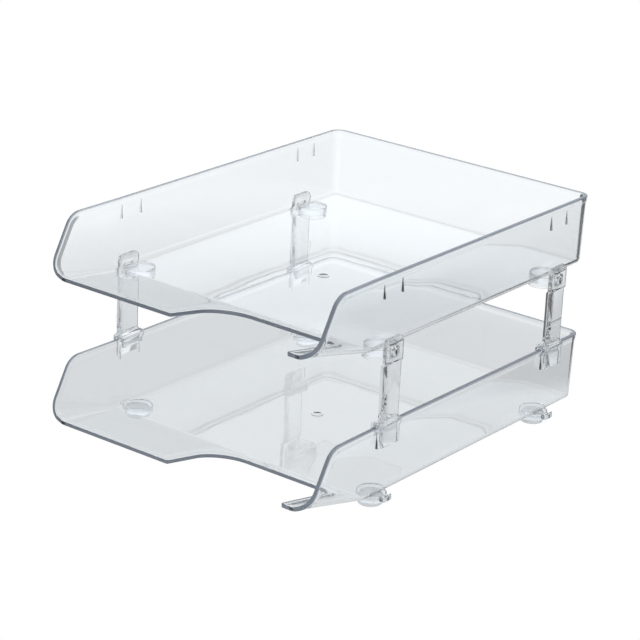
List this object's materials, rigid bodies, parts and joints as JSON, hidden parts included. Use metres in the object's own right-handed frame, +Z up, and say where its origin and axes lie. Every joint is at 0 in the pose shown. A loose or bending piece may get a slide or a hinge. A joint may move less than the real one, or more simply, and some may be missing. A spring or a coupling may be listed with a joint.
{
  "type": "letter tray",
  "caption": "Two-tier letter tray in clear plastic: open-fronted A4 trays with a hand notch in the lip, risers over the rim, round feet and pads.",
  "frame": {"origin": "on the table, under the middle of the object", "axes": "+Z up, +Y from the open front to the back, +X to the right of someone who faces the open front"},
  "size_m": [0.263, 0.3472, 0.1821],
  "materials": {
    "tray_clear": "gloss",
    "riser_clear": "gloss",
    "foot_clear": "gloss",
    "pad_rubber": "satin"
  },
  "bodies": {
    "lower_tier": {"lower_tray": "tray_clear", "lower_foot_front_left": "foot_clear", "lower_foot_front_right": "foot_clear", "lower_foot_back_left": "foot_clear", "lower_foot_back_right": "foot_clear", "foot_pad_front_left": "pad_rubber", "foot_pad_front_right": "pad_rubber", "foot_pad_back_left": "pad_rubber", "foot_pad_back_right": "pad_rubber"},
    "upper_tier": {"upper_tray": "tray_clear", "upper_foot_front_left": "foot_clear", "upper_foot_front_right": "foot_clear", "upper_foot_back_left": "foot_clear", "upper_foot_back_right": "foot_clear", "riser_front_left": "riser_clear", "riser_front_right": "riser_clear", "riser_back_left": "riser_clear", "riser_back_right": "riser_clear"}
  },
  "joints": [
    {"name": "upper_tier_lift", "type": "slide", "parent": "lower_tier", "child": "upper_tier", "axis": [0, 0, 1], "range_m": [0, 0.025]}
  ]
}
